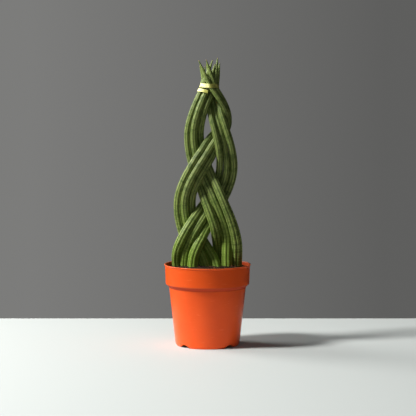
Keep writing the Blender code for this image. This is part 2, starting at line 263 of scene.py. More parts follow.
floor_paint, tree, shader = new_material("floor paint")
looked_at = add_node(tree, "ShaderNodeLightPath").outputs["Is Camera Ray"]
measured = add_node(tree, "ShaderNodeVectorMath", {0: object_place(tree)}, operation="LENGTH")
far_out = eased(tree, measured.outputs["Value"], NEAR_TO, FAR_FROM)
felt = over(tree, NEAR_FELT, FAR_FELT, far_out)
set_input(tree, shader.inputs["Base Color"], over(tree, felt, FLOOR_SEEN, looked_at))
shader.inputs["Roughness"].default_value = FLOOR_ROUGHNESS
floor.data.materials.append(floor_paint)
print("floor ends", FLOOR_BACK_EDGE, "m behind the pot's middle")

# %% [markdown]
# ## Backdrop
# A grey world behind the floor is the wall. It is a little lighter on its left, which is painted
# light from the lamps on that side, and it lights the plant more weakly than it looks, because the
# light of a real room comes from one side.

# %% Colour the wall
WALL_COLOUR = (0.155, 0.155, 0.151125)
WALL_EDGE = 0.103
WALL_LEFT = 1.30
WALL_RIGHT = 0.73
FILL_STRENGTH = 0.19

world = bpy.data.worlds.new("grey studio")
world.use_nodes = True
bpy.context.scene.world = world
tree = world.node_tree
wall = tree.nodes["Background"]
wall.inputs["Color"].default_value = (*WALL_COLOUR, 1)
looked_at = add_node(tree, "ShaderNodeLightPath").outputs["Is Camera Ray"]
sideways = part_of(tree, add_node(tree, "ShaderNodeTexCoord").outputs["Generated"], "X")
# Painted light: the wall that the camera sees is brighter on its left than on its right.
seen = eased(tree, sideways, -WALL_EDGE, WALL_EDGE, WALL_LEFT, WALL_RIGHT)
set_input(tree, wall.inputs["Strength"], eased(tree, looked_at, 0, 1, FILL_STRENGTH, seen))
print("wall:", len(tree.nodes), "nodes")

# %% [markdown]
# ## Light
# One soft, slightly warm light high on the left does most of the work, so every leaf is bright on
# its left side and nearly black on its right. A weaker one further back reaches the inside of the
# rim, and a faint one above the camera opens up the shadows.

# %% Hang the lights
WINDOW_TINT = (1.0, 0.97, 0.93)
WHITE = (1, 1, 1)
LIT_PLACE = Vector((0, 0, 0.2))


def soft_light(name, place, size, watts, colour):
    """A square studio light that faces the middle of the plant."""
    bpy.ops.object.light_add(type="AREA", location=place)
    light = bpy.context.object
    light.name = name
    light.data.size = size
    light.data.energy = watts
    light.data.color = colour
    light.rotation_euler = (LIT_PLACE - light.location).to_track_quat("-Z", "Y").to_euler()


soft_light("window on the left", (-1.86, -0.62, 1.86), 0.5, 114, WINDOW_TINT)
soft_light("glow from the left", (-1.75, 0.80, 1.00), 0.9, 36, WINDOW_TINT)
soft_light("front fill", (0.2, -2.4, 1.3), 1.4, 6, WHITE)

# %% [markdown]
# ## Reading a leaf's solid
# A leaf's solid is a stack of rings from the foot to the tip. Walking from the lowest ring to its
# neighbours, again and again, finds them all in order. The middle of each ring is a point of the
# leaf's line, and the corner furthest out gives its radius.

# %% Walk the rings of a leaf
MERGE = 0.00001
HALF_RING = 0.0035


def merged_copy(node):
    """A node's mesh with its loose triangles joined, to read from."""
    shape = bmesh.new()
    shape.from_mesh(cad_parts[node].data)
    bmesh.ops.remove_doubles(shape, verts=shape.verts, dist=MERGE)
    shape.verts.index_update()
    return shape


def leaf_rings(node):
    """The rings of a leaf from foot to tip, each an array of corners."""
    shape = merged_copy(node)
    lowest = min(corner.co.z for corner in shape.verts)
    ring = {corner for corner in shape.verts if corner.co.z < lowest + HALF_RING}
    walked = set(ring)
    rings = []
    while ring:
        rings.append(np.array([corner.co for corner in sorted(ring, key=lambda c: c.index)]))
        ring = {edge.other_vert(corner) for corner in ring for edge in corner.link_edges} - walked
        walked |= ring
    shape.free()
    return rings


leaf_names = sorted(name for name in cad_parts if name.startswith("leaf_"))
rings_of = {name: leaf_rings(name) for name in leaf_names}
for name in leaf_names:
    print(name, len(rings_of[name]), "rings of", len(rings_of[name][0]), "corners")

# %% [markdown]
# ## The leaf's line
# Straight steps from ring to ring would show as kinks, so a smooth curve is laid through the
# rings' middles, and the radius follows the same curve. Two directions go across the line at every
# point and turn as little as they can. That keeps each ridge running along the leaf.

# %% Smooth a leaf's line
STEPS_A_RING = 8


def through(points, steps):
    """Points on a smooth curve through the given points."""
    padded = np.vstack((2 * points[0] - points[1], points, 2 * points[-1] - points[-2]))
    spans = [part[:, None, :] for part in (padded[:-3], padded[1:-2], padded[2:-1], padded[3:])]
    before, start, end, after = spans
    share = np.linspace(0, 1, steps, endpoint=False)[None, :, None]
    bend = 2 * before - 5 * start + 4 * end - after
    twist = 3 * start - before - 3 * end + after
    curve = start + 0.5 * ((end - before) * share + bend * share**2 + twist * share**3)
    return np.vstack((curve.reshape(-1, points.shape[1]), points[-1:]))


def leaf_line(rings):
    """Middle and ridge radius at many points along a leaf, and the direction of its first ridge."""
    middles = np.array([ring.mean(axis=0) for ring in rings])
    reaches = [np.linalg.norm(ring - middle, axis=1) for ring, middle in zip(rings, middles)]
    radii = np.array([reach.max() for reach in reaches])
    smooth = through(np.column_stack((middles, radii)), STEPS_A_RING)
    return smooth[:, :3], smooth[:, 3], rings[0][reaches[0].argmax()] - middles[0]


def lengths_along(line):
    """How far along the line each of its points is."""
    steps = np.linalg.norm(np.diff(line, axis=0), axis=1)
    return np.concatenate(([0], np.cumsum(steps)))


def ways_across(line, side):
    """Two directions across the line at each point, which turn as little as they can."""
    ahead = np.gradient(line, axis=0)
    ahead /= np.linalg.norm(ahead, axis=1)[:, None]
    across = np.empty_like(ahead)
    for k, way in enumerate(ahead):
        side = side - way * side.dot(way)
        side = side / np.linalg.norm(side)
        across[k] = side
    return across, np.cross(ahead, across)


for name in leaf_names:
    line = leaf_line(rings_of[name])[0]
    print(name, "is", round(1000 * lengths_along(line)[-1]), "mm long")

# %% [markdown]
# ## The leaf's thickness and its ridges
# The flesh is a little fuller than the solid, because leaves in a plait press on each other. It is
# fullest at the foot, and a little fuller again two centimetres below the tip. The cross section
# is a ring of broad ridges with narrow furrows between them. The furrows are deeper low down and
# shallow at the tip, and a slow swelling keeps two leaves from looking the same.

# %% Describe a leaf's body
FULLER = 0.00034
THIN = 0.002
STOUT_FOOT = 0.00065
FOOT_FROM = 0.150
FOOT_TO = 0.215
STOUT_POINT = 0.0006
POINT_LENGTH = 0.040
RIDGES = 8
FURROW_ABOVE = 0.075
FURROW_BELOW = 0.120
FURROW_FADES = 0.260
FURROW_AT_TIP = 0.3
FURROW_SOFTNESS = 0.012
UNEVEN = 0.025
UNEVEN_A_METRE = 34


def plumper(radii, line, to_tip):
    """The solid's radii, made fuller by what a pressed leaf gains."""
    radii = radii + FULLER * np.minimum(1, radii / THIN)
    radii += STOUT_POINT * np.sin(math.pi * np.minimum(1, to_tip / POINT_LENGTH))
    radii += STOUT_FOOT * np.clip((FOOT_TO - line[:, 2]) / (FOOT_TO - FOOT_FROM), 0, 1)
    return radii


def furrow_depths(line, to_tip):
    """The depth of the furrows at each point of the line, as a share of the radius."""
    low_down = np.clip((FURROW_FADES - line[:, 2]) / (FURROW_FADES - FOOT_FROM), 0, 1)
    depth = FURROW_ABOVE + (FURROW_BELOW - FURROW_ABOVE) * low_down
    return depth * np.clip(to_tip / POINT_LENGTH, FURROW_AT_TIP, 1)


def section(turn, depth):
    """The leaf's radius at a turn round it, from 1 on the ridges down to the furrows."""
    ridge = np.sqrt(np.cos(math.pi * RIDGES * turn) ** 2 + FURROW_SOFTNESS)
    low = math.sqrt(FURROW_SOFTNESS)
    high = math.sqrt(1 + FURROW_SOFTNESS)
    return 1 - depth * (high - ridge) / (high - low)


def swelling(lengths, seed):
    """How much thicker or thinner the leaf is at each point, by chance."""
    places = [Vector((seed, 0, length * UNEVEN_A_METRE)) for length in lengths]
    return 1 + UNEVEN * np.array([noise.noise(place) for place in places])


foot_gain = round(1000 * (FULLER + STOUT_FOOT), 2)
print("a leaf has", RIDGES, "ridges and gains", foot_gain, "mm at its foot")

# %% [markdown]
# ## Rolling a leaf from a sheet
# A leaf is modelled as a flat sheet of small squares, rolled round the leaf's line. One side of the
# sheet runs round the leaf and the other along it, so the sheet's own UV map says for every spot
# how far round and how far along it is. The seam and both ends are merged at the end, which makes
# one closed body.

# %% Write the rolling helpers
AROUND = 112


def capped(values):
    """The values with the first and the last one twice, for the two closed ends."""
    return np.concatenate((values[:1], values, values[-1:]))


def select_only(thing):
    """Makes this the one object that operators act on."""
    bpy.ops.object.select_all(action="DESELECT")
    bpy.context.view_layer.objects.active = thing
    thing.select_set(True)


def join_doubles(thing, distance):
    """Merges what lies together in an object and turns its faces outwards."""
    select_only(thing)
    bpy.ops.object.mode_set(mode="EDIT")
    bpy.ops.mesh.select_all(action="SELECT")
    bpy.ops.mesh.remove_doubles(threshold=distance)
    bpy.ops.mesh.normals_make_consistent(inside=False)
    bpy.ops.object.mode_set(mode="OBJECT")


def flat_sheet(name, rows):
    """A flat sheet of squares, and for each corner its turn round the leaf and its row along it."""
    bpy.ops.object.select_all(action="DESELECT")
    bpy.ops.mesh.primitive_grid_add(x_subdivisions=AROUND, y_subdivisions=rows, size=1)
    sheet = bpy.context.object
    sheet.name = name
    places = np.empty(3 * len(sheet.data.vertices))
    sheet.data.vertices.foreach_get("co", places)
    places = places.reshape(-1, 3) + 0.5
    return sheet, places[:, 0], np.rint(places[:, 1] * rows).astype(int)


def note_lengths(leaf, lengths, row):
    """Puts the length along the leaf in its UV map, and the way left to the tip on its corners."""
    corners = leaf.data.uv_layers.active.data
    flat = np.empty(2 * len(corners))
    corners.foreach_get("uv", flat)
    flat[1::2] = lengths[np.rint(flat[1::2] * (len(lengths) - 1)).astype(int)]
    corners.foreach_set("uv", flat)
    to_tip = leaf.data.attributes.new("to_tip", "FLOAT", "POINT")
    to_tip.data.foreach_set("value", lengths[-1] - lengths[row])


print("a sheet has", AROUND, "squares round the leaf")

# %% [markdown]
# Each of the nine leaves is rolled round the line of its own solid. The ridges turn slowly round
# the leaf, more or less from leaf to leaf, and the finished leaf takes the place of its solid.

# %% Roll the leaves
TURN_A_METRE = 1.1
SEAM = 0.0000005


def rolled(name, line, radii, side, seed):
    """A sheet rolled round the line into a closed, ridged body."""
    across, over_it = (capped(ways) for ways in ways_across(line, side))
    lengths = lengths_along(line)
    radii = np.concatenate(([0], plumper(radii, line, lengths[-1] - lengths), [0]))
    line, lengths = capped(line), capped(lengths)
    depth = furrow_depths(line, lengths[-1] - lengths)
    swell = swelling(lengths, seed)
    leaf, turn, row = flat_sheet(name, len(line) - 1)
    reach = radii[row] * section(turn, depth[row]) * swell[row]
    angle = 2 * math.pi * turn + TURN_A_METRE * lengths[row] * math.cos(seed)
    out = across[row] * np.cos(angle)[:, None] + over_it[row] * np.sin(angle)[:, None]
    leaf.data.vertices.foreach_set("co", (line[row] + reach[:, None] * out).ravel())
    note_lengths(leaf, lengths, row)
    join_doubles(leaf, SEAM)
    bpy.ops.object.shade_smooth()
    return leaf


leaves = {}
for number, name in enumerate(leaf_names):
    line, radii, ridge = leaf_line(rings_of[name])
    leaf = rolled(name.replace("leaf_", "ridged_leaf_"), line, radii, ridge, 3 * number + 1)
    leaves[name] = leaf
    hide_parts(name)
    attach(leaf, "root")
    print(leaf.name, len(leaf.data.polygons), "faces")

# %% [markdown]
# ## How fresh each leaf is
# The youngest growth near the soil is a yellower green, more on some leaves than on others. A value
# on every leaf tells the skin how fresh it is, so that one skin serves them all.

# %% Mark the fresh leaves
FRESHNESS = {
    "leaf_left_1": 0.75,
    "leaf_left_2": 0.80,
    "leaf_left_3": 1.00,
    "leaf_middle_1": 0.45,
    "leaf_middle_2": 0.90,
    "leaf_middle_3": 1.00,
    "leaf_right_1": 0.60,
    "leaf_right_2": 0.95,
    "leaf_right_3": 0.30,
}
for name, leaf in leaves.items():
    fresh = leaf.data.attributes.new("fresh", "FLOAT", "POINT")
    fresh.data.foreach_set("value", np.full(len(leaf.data.vertices), FRESHNESS[name]))
print("freshest leaf:", max(FRESHNESS, key=FRESHNESS.get))

# %% [markdown]
# ## The leaf's skin
# The skin is waxy and grey green. The furrows are painted far darker than the ridges, which is
# partly the leaf's own darker grooves and partly painted shade. The UV map drives it, bent into a
# ring first, so that no pattern breaks at the seam. Coordinates that change little round the leaf
# and fast along it draw blotches out into bands, and the other way round they make streaks. At the
# tips, where the ridges run together, the contrast fades.

# %% Paint the ridges and furrows
RIDGE_GREEN = (0.212, 0.280, 0.080)
DARK_GREEN_AND_SHADE = (0.016, 0.029, 0.006)
TIP_FADES = (0.02, 0.07)

leaf_skin, tree, shader = new_material("leaf skin")
spot = add_node(tree, "ShaderNodeUVMap", uv_map="UVMap").outputs["UV"]
round_it = times(tree, part_of(tree, spot, "X"), 2 * math.pi)
along_it = part_of(tree, spot, "Y")
height = part_of(tree, object_place(tree), "Z")
to_tip = value_on_mesh(tree, "to_tip")


def on_a_ring(wide, long):
    """Coordinates that close at the seam: wide across the leaf, and so many steps to the metre."""
    sides = {"X": times(tree, calculated(tree, "COSINE", round_it), wide)}
    sides["Y"] = times(tree, calculated(tree, "SINE", round_it), wide)
    sides["Z"] = times(tree, along_it, long)
    return add_node(tree, "ShaderNodeCombineXYZ", sides).outputs["Vector"]


def stronger_below(pattern, above, below, high, low):
    """The pattern at one strength above a height, and at another below a second height."""
    return times(tree, pattern, eased(tree, height, high, low, above, below))


def faint_at_tip(pattern, strength):
    """The pattern at full strength, but for the tip."""
    return times(tree, pattern, eased(tree, to_tip, *TIP_FADES, strength, 1))


ridge = eased(tree, calculated(tree, "COSINE", times(tree, round_it, RIDGES)), -0.95, -0.30)
# Painted shade in the furrows, laid over the leaf's own darker grooves.
furrow = stronger_below(calculated(tree, "SUBTRACT", 1, ridge), 0.82, 0.97, 0.26, 0.15)
green = over(tree, RIDGE_GREEN, DARK_GREEN_AND_SHADE, faint_at_tip(furrow, 0.35))
print("ridges and furrows:", len(tree.nodes), "nodes")

# %% [markdown]
# Bands of lighter and darker green cross the leaf every few millimetres, broken up where they go
# round it, and the fine creases between them are darkened as painted shade. They are much stronger
# near the soil than in the plait. Dark streaks run along the leaf.

# %% Paint the bands, creases and streaks
DARK_BAND = (0.038, 0.080, 0.014)
PALE_BAND = (0.270, 0.350, 0.085)

bands = on_a_ring(0.45, 150)
dark = placed(tree, blotches, Vector=bands, Scale=1.3, Low=0.50, High=0.60)
green = over(tree, green, DARK_BAND, times(tree, dark, 0.60))

pale = placed(tree, blotches, Vector=on_a_ring(0.3, 500), Scale=1.0, Low=0.44, High=0.58)
pale = stronger_below(times(tree, pale, ridge), 0.18, 0.65, 0.22, 0.13)
green = over(tree, green, PALE_BAND, pale)

# Painted shade: the fine creases between the bands are darkened.
crease_shade = placed(tree, blotches, Vector=on_a_ring(0.16, 400), Scale=1.0, Low=0.51, High=0.58)
crease_shade = stronger_below(crease_shade, 0.12, 0.62, 0.23, 0.14)
green = over(tree, green, DARK_GREEN_AND_SHADE, crease_shade)

streaks = on_a_ring(9, 45)
streaky = placed(tree, blotches, Vector=streaks, Scale=1.0, Low=0.35, High=0.75)
streaky = faint_at_tip(streaky, 0.4)
green = over(tree, green, DARK_GREEN_AND_SHADE, times(tree, streaky, 0.28))
print("with bands and streaks:", len(tree.nodes), "nodes")

# %% [markdown]
# Near the soil the green is fresher. A few scars have healed brown, the last millimetre of each tip
# has dried, and a little dust lies on what looks upwards. Fine wrinkles and fibres finish the skin.

# %% Paint the signs of growth and age
FRESH_GREEN = (0.165, 0.285, 0.022)
DRY_BROWN = (0.200, 0.105, 0.035)
DUST_GREY = (0.40, 0.41, 0.33)
WRINKLE_HEIGHT = 0.00030
FIBRE_HEIGHT = 0.00012

low_down = stronger_below(value_on_mesh(tree, "fresh"), 0, 1, 0.215, 0.115)
green = over(tree, green, FRESH_GREEN, times(tree, low_down, 0.62))
scars = placed(tree, blotches, Vector=on_a_ring(2.2, 130), Scale=1.3, Low=0.735, High=0.77)
green = over(tree, green, DRY_BROWN, scars)
green = over(tree, green, DRY_BROWN, eased(tree, to_tip, 0.0012, 0.0004))
powder = placed(tree, dust, Vector=bands, Scale=0.8, Amount=0.06)
green = over(tree, green, DUST_GREY, powder)
set_input(tree, shader.inputs["Base Color"], green)
set_input(tree, shader.inputs["Roughness"], eased(tree, streaky, 0, 1, 0.42, 0.58))
shader.inputs["Specular IOR Level"].default_value = 0.20

smooth_tip = eased(tree, to_tip, 0.03, 0.09)
wrinkles = times(tree, placed(tree, grain, Vector=bands, Scale=2.2), smooth_tip)
fibres = times(tree, placed(tree, grain, Vector=streaks, Scale=1.0), smooth_tip)
raise_surface(tree, shader, (wrinkles, WRINKLE_HEIGHT), (fibres, FIBRE_HEIGHT))
for leaf in leaves.values():
    leaf.data.materials.append(leaf_skin)
print("leaf skin:", len(tree.nodes), "nodes")

# %% [markdown]
# ## Drawing a profile and spinning it
# A nursery pot is moulded from thin plastic and is the same all round. So its wall is drawn as one
# line, point by point, and spun about the middle. Every corner of the line is rounded first,
# because moulded edges are never sharp, and a rounded edge catches the light.

# %% Write the spinning helpers
SPIN_STEPS = 160
SAME_PLACE = 0.000002
CORNER_STEPS = 3


def softened(outline, radius):
    """A closed outline with each corner replaced by a short curve."""
    points = [Vector(point) for point in outline]
    soft = []
    for before, corner, after in zip(points[-1:] + points[:-1], points, points[1:] + points[:1]):
        near = min(radius, (before - corner).length / 2.5)
        far = min(radius, (after - corner).length / 2.5)
        start = corner + (before - corner).normalized() * near
        end = corner + (after - corner).normalized() * far
        for k in range(CORNER_STEPS + 1):
            share = k / CORNER_STEPS
            soft.append(start.lerp(corner, share).lerp(corner.lerp(end, share), share))
    return [tuple(point) for point in soft]


def spun(name, outline):
    """A line of (radius, height) points drawn by extruding, then spun about the vertical axis."""
    bpy.ops.object.select_all(action="DESELECT")
    bpy.ops.mesh.primitive_plane_add(size=0.001)
    thing = bpy.context.object
    thing.name = name
    bpy.ops.object.mode_set(mode="EDIT")
    bpy.ops.mesh.select_all(action="SELECT")
    bpy.ops.mesh.merge(type="CENTER")
    bpy.ops.transform.translate(value=(outline[0][0], 0, outline[0][1]))
    for (radius, height), (next_radius, next_height) in zip(outline, outline[1:]):
        step = (next_radius - radius, 0, next_height - height)
        bpy.ops.mesh.extrude_region_move(TRANSFORM_OT_translate={"value": step})
    bpy.ops.mesh.select_all(action="SELECT")
    bpy.ops.mesh.spin(steps=SPIN_STEPS, angle=2 * math.pi, center=(0, 0, 0), axis=(0, 0, 1))
    bpy.ops.object.mode_set(mode="OBJECT")
    join_doubles(thing, SAME_PLACE)
    return thing


def finish_by(thing, kind, **settings):
    """Adds a modifier and applies it."""
    modifier = thing.modifiers.new(kind.title(), kind)
    for key, value in settings.items():
        setattr(modifier, key, value)
    select_only(thing)
    bpy.ops.object.modifier_apply(modifier=modifier.name)


print("a spun line goes round in", SPIN_STEPS, "steps")

# %% [markdown]
# ## The pot
# From the rim down: a small lip, a tall collar, a slanting ledge under it, the tapered body, and a
# foot ring. The inside follows the outside at one wall's thickness. Each point of the outline is a
# radius and a height in metres, down the outside, along the floor, and up the inside.

# %% Spin the pot
WALL = 0.0012
FLOOR_UNDERSIDE = 0.0050
MIDDLE_HOLE = 0.0050
LIP_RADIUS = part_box("pot")[1][0]
POT_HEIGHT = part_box("pot")[1][2]
COLLAR_LOW = 0.0860
EDGE_ROUNDING = 0.0006

pot_outline = [
    (LIP_RADIUS - 0.0003, POT_HEIGHT),
    (LIP_RADIUS, POT_HEIGHT - 0.0004),
    (LIP_RADIUS, POT_HEIGHT - 0.0015),
    (LIP_RADIUS - 0.0011, POT_HEIGHT - 0.0021),
    (0.0580, COLLAR_LOW),
    (0.0576, COLLAR_LOW - 0.0008),
    (0.0536, 0.0816),
    (0.0532, 0.0806),
    (0.0448, 0.0045),
    (0.0440, 0.0015),
    (0.0432, 0.0000),
    (0.0417, 0.0000),
    (0.0421, FLOOR_UNDERSIDE),
    (MIDDLE_HOLE, FLOOR_UNDERSIDE),
    (MIDDLE_HOLE, FLOOR_UNDERSIDE + WALL),
    (0.0424, FLOOR_UNDERSIDE + WALL),
    (0.0440, FLOOR_UNDERSIDE + WALL + 0.0016),
    (0.0520, 0.0812),
    (0.0524, 0.0824),
    (0.0564, 0.0856),
    (0.0568, 0.0864),
    (0.0578, POT_HEIGHT - 0.0018),
    (0.0582, POT_HEIGHT),
]
pot = spun("moulded_pot", softened(pot_outline, EDGE_ROUNDING))
print(pot.name, len(pot.data.polygons), "faces")

# %% [markdown]
# Four arches in the foot let water out, and so do the holes in the floor. A cutter is a plain
# cylinder that is only there to cut. It goes in with the Boolean modifier, which is applied, and
# then the cutter is deleted.

# %% Cut the arches and the drain holes
ARCH_ANGLES = [math.radians(44 + 90 * k) for k in range(4)]
ARCH_HEIGHT = 0.0042
ARCH_RADIUS = 0.0122
ARCH_FROM = 0.0395
ARCH_TO = 0.0480
HOLE = 0.0040
HOLE_CIRCLE = 0.0270
CUTTER_CORNERS = 64


def cut_away(thing, radius, depth, place, turned):
    """Takes a cylinder out of the thing."""
    sizes = {"radius": radius, "depth": depth, "vertices": CUTTER_CORNERS}
    bpy.ops.object.select_all(action="DESELECT")
    bpy.ops.mesh.primitive_cylinder_add(location=place, rotation=turned, **sizes)
    cutter = bpy.context.object
    finish_by(thing, "BOOLEAN", operation="DIFFERENCE", object=cutter, solver="EXACT")
    bpy.data.objects.remove(cutter, do_unlink=True)


for angle in ARCH_ANGLES:
    way = Vector((math.cos(angle), math.sin(angle), 0))
    arch_place = way * (ARCH_FROM + ARCH_TO) / 2 + Vector((0, 0, ARCH_HEIGHT - ARCH_RADIUS))
    lying_down = (math.pi / 2, 0, angle + math.pi / 2)
    cut_away(pot, ARCH_RADIUS, ARCH_TO - ARCH_FROM, arch_place, lying_down)
    hole_place = way * HOLE_CIRCLE + Vector((0, 0, FLOOR_UNDERSIDE))
    cut_away(pot, HOLE, 4 * WALL, hole_place, (0, 0, 0))
join_doubles(pot, SAME_PLACE)
print(pot.name, len(pot.data.polygons), "faces after cutting")

# %% [markdown]
# Thin plastic is never quite round. The wall is pushed in and out by a tenth of a millimetre in
# slow waves, and the lip has a few small knocks, most of them at the front right. A knock is given
# as an angle and a width in degrees.

# %% Give the pot its small faults
WAVE_A_METRE = 22
WAVE_HEIGHT = 0.00012
WAVES_GROW_OVER = 0.02
STILL_WITHIN = 0.03
KNOCK_DEPTH = 0.00035
KNOCK_REACH = 0.0035
KNOCKS = [(-57, 4), (-49, 3), (-62, 2.5), (-150, 3), (118, 4), (30, 3)]
LIP_DIPS_A_METRE = 60
LIP_DIP = 0.00021

for vert in pot.data.vertices:
    out = Vector((vert.co.x, vert.co.y, 0))
    if out.length < STILL_WITHIN:
        continue
    wave = WAVE_HEIGHT * noise.noise(vert.co * WAVE_A_METRE)
    push = wave * min(1, vert.co.z / WAVES_GROW_OVER)
    near_lip = max(0, 1 - (POT_HEIGHT - vert.co.z) / KNOCK_REACH)
    angle = math.degrees(math.atan2(vert.co.y, vert.co.x))
    for place, width in KNOCKS:
        push -= KNOCK_DEPTH * near_lip * math.exp(-(((angle - place) / width) ** 2))
    vert.co += out.normalized() * push
    vert.co.z -= LIP_DIP * near_lip * abs(noise.noise(vert.co * LIP_DIPS_A_METRE))
select_only(pot)
bpy.ops.object.shade_smooth_by_angle(angle=math.radians(40))
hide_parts("pot")
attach(pot, "root")
print("lip now reaches", round(1000 * max(v.co.z for v in pot.data.vertices), 2), "mm")

# %% [markdown]
# ## Orange plastic
# The plastic is coloured through, with a satin skin. It is a little uneven where it flowed in the
# mould, and paler on scuffs. It is paler along the lip and the collar's lower edge, which is partly
# rubbing and partly painted highlight. It is dusty where it looks upwards, and dull and darker on
# the ledge under the collar, which is painted shade. All of that is slight, because the pot is
# nearly new.

# %% Colour the pot
ORANGE = (0.640, 0.076, 0.007)
DEEP_ORANGE = (0.550, 0.056, 0.005)
WORN_AND_HIGHLIT_ORANGE = (0.850, 0.220, 0.080)
DUSTY_ORANGE = (0.400, 0.200, 0.110)
LEDGE_SHADE_ORANGE = (0.300, 0.028, 0.008)
RUBBED_AND_HIGHLIT_EDGES = (POT_HEIGHT, COLLAR_LOW - 0.0003)
EDGE_WIDTH = 0.0006
LEDGE = 0.0832
LEDGE_SHADE_REACH = 0.0036
LEDGE_SHADE_CORE = 0.0020
PEEL_HEIGHT = 0.00003
DRAWN_HEIGHT = 0.00002

pot_plastic, tree, shader = new_material("orange plastic")
place = object_place(tree)
height = part_of(tree, place, "Z")
flow = placed(tree, blotches, Vector=place, Scale=28, Low=0.35, High=0.7)
orange = over(tree, ORANGE, DEEP_ORANGE, times(tree, flow, 0.4))
round_marks = stretched(tree, place, (60, 60, 420))
scuffs = placed(tree, blotches, Vector=round_marks, Scale=1.0, Low=0.66, High=0.74)
orange = over(tree, orange, WORN_AND_HIGHLIT_ORANGE, times(tree, scuffs, 0.22))
# Partly rubbing and partly painted highlight: pale lines along the lip and the collar's lower edge.
for edge_height in RUBBED_AND_HIGHLIT_EDGES:
    from_edge = calculated(tree, "ABSOLUTE", calculated(tree, "SUBTRACT", height, edge_height))
    near_edge = eased(tree, from_edge, EDGE_WIDTH, 0)
    orange = over(tree, orange, WORN_AND_HIGHLIT_ORANGE, times(tree, near_edge, 0.45))
# Painted shade: the ledge under the collar is darkened, and made rougher, where shade falls under
# it.
from_ledge = calculated(tree, "ABSOLUTE", calculated(tree, "SUBTRACT", height, LEDGE))
ledge_shade = eased(tree, from_ledge, LEDGE_SHADE_REACH, LEDGE_SHADE_CORE, 0, 0.85)
orange = over(tree, orange, LEDGE_SHADE_ORANGE, ledge_shade)
powder = placed(tree, dust, Vector=place, Scale=140, Amount=0.35)
orange = over(tree, orange, DUSTY_ORANGE, powder)
set_input(tree, shader.inputs["Base Color"], orange)
satin = calculated(tree, "ADD", eased(tree, flow, 0, 1, 0.34, 0.42), times(tree, ledge_shade, 0.45))
set_input(tree, shader.inputs["Roughness"], satin)
shader.inputs["Specular IOR Level"].default_value = 0.22
peel = placed(tree, grain, Vector=place, Scale=900)
drawn = placed(tree, grain, Vector=round_marks, Scale=1.2)
raise_surface(tree, shader, (peel, PEEL_HEIGHT), (drawn, DRAWN_HEIGHT))
pot.data.materials.clear()
pot.data.materials.append(pot_plastic)
print("orange plastic:", len(tree.nodes), "nodes")

# %% [markdown]
# ## The soil
# The pot is filled nearly to the rim with dark potting mix. A fine sheet of it is spun with the same
# outline as the solid and pushed up and down by noise of two sizes. The leaves simply stand in it.

# %% Spin the soil
SOIL_EDGE = 0.1080
SOIL_MOUND = 0.0024
SOIL_LUMPS = 0.0011
LUMPS_A_METRE = 110
BITS_A_METRE = 420
SOIL_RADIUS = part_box("soil")[1][0] + 0.0004
SOIL_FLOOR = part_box("soil")[0][2]
SOIL_RINGS = 90
A_HAIR = 0.0001


def soil_height(x, y):
    """The height of the soil's surface: mounded to the middle, with lumps."""
    inward = min(1, 2 * (1 - math.hypot(x, y) / SOIL_RADIUS))
    mound = SOIL_MOUND * inward * inward * (3 - 2 * inward)
    lumps = noise.noise(Vector((x, y, 0)) * LUMPS_A_METRE)
    bits = noise.noise(Vector((x, y, 7)) * BITS_A_METRE)
    return SOIL_EDGE + mound + SOIL_LUMPS * (lumps + 0.5 * bits)


soil_outline = [(SOIL_RADIUS * k / SOIL_RINGS, SOIL_EDGE) for k in range(SOIL_RINGS + 1)] + [
    (0.0566, 0.0866),
    (0.0518, 0.0816),
    (0.0436, SOIL_FLOOR + 0.0016),
    (0.0420, SOIL_FLOOR),
    (0.0000, SOIL_FLOOR),
]
soil = spun("soil_bed", soil_outline)
for vert in soil.data.vertices:
    if vert.co.z > SOIL_EDGE - A_HAIR:
        vert.co.z = soil_height(vert.co.x, vert.co.y)
select_only(soil)
bpy.ops.object.shade_smooth()
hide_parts("soil")
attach(soil, "root")
print(soil.name, len(soil.data.polygons), "faces")

# %% [markdown]
# ## Crumbs and bark
# What makes potting mix look real are its loose pieces. A few lumps are modelled as rough little
# stones of twenty faces. Then hundreds of copies are strewn over the soil, turned and sized by dice
# with a fixed seed. Long flat copies are bits of bark.

# %% Model a few lumps
CRUMBS = 1300
BARK = 120
LUMPS = 6
CRUMB_SIZE = (0.0005, 0.0019)
BARK_SIZE = (0.0018, 0.0042)
BARK_SHAPE = (1, 0.4, 0.18)
SUNK = 0.18
rng = random.Random(7)


def rough_lump():
    """One rough lump, about one unit across."""
    bpy.ops.object.select_all(action="DESELECT")
    bpy.ops.mesh.primitive_ico_sphere_add(subdivisions=1, radius=0.5)
    lump = bpy.context.object
    for vert in lump.data.vertices:
        vert.co *= rng.uniform(0.65, 1.2)
    return lump


lumps = [rough_lump() for _ in range(LUMPS)]
print(len(lumps), "lumps to copy")

# %% [markdown]
# Loose pieces don't lie inside a leaf, so the dice are thrown again where one would. The stems are
# read from the rings of the leaves at the height of the soil.

# %% Strew the copies
stems = []
for rings in rings_of.values():
    at_soil = min(rings, key=lambda ring: abs(ring[:, 2].mean() - SOIL_EDGE))
    middle = at_soil.mean(axis=0)
    stems.append((Vector(middle[:2]), np.linalg.norm(at_soil - middle, axis=1).max()))


def place_on_soil(size):
    """A random place on the soil that isn't inside a leaf."""
    while True:
        away = (SOIL_RADIUS - 0.6 * size) * math.sqrt(rng.random())
        angle = rng.uniform(0, 2 * math.pi)
        place = Vector((away * math.cos(angle), away * math.sin(angle)))
        if all((place - middle).length > radius - 0.25 * size for middle, radius in stems):
            return place


def random_turn():
    """A turn of any kind, as a matrix."""
    dice = Vector([rng.gauss(0, 1) for _ in range(4)]).normalized()
    tilt = dice.to_3d().to_track_quat("Z", "Y").to_matrix().to_4x4()
    return tilt @ Matrix.Rotation(dice.w, 4, "Z")


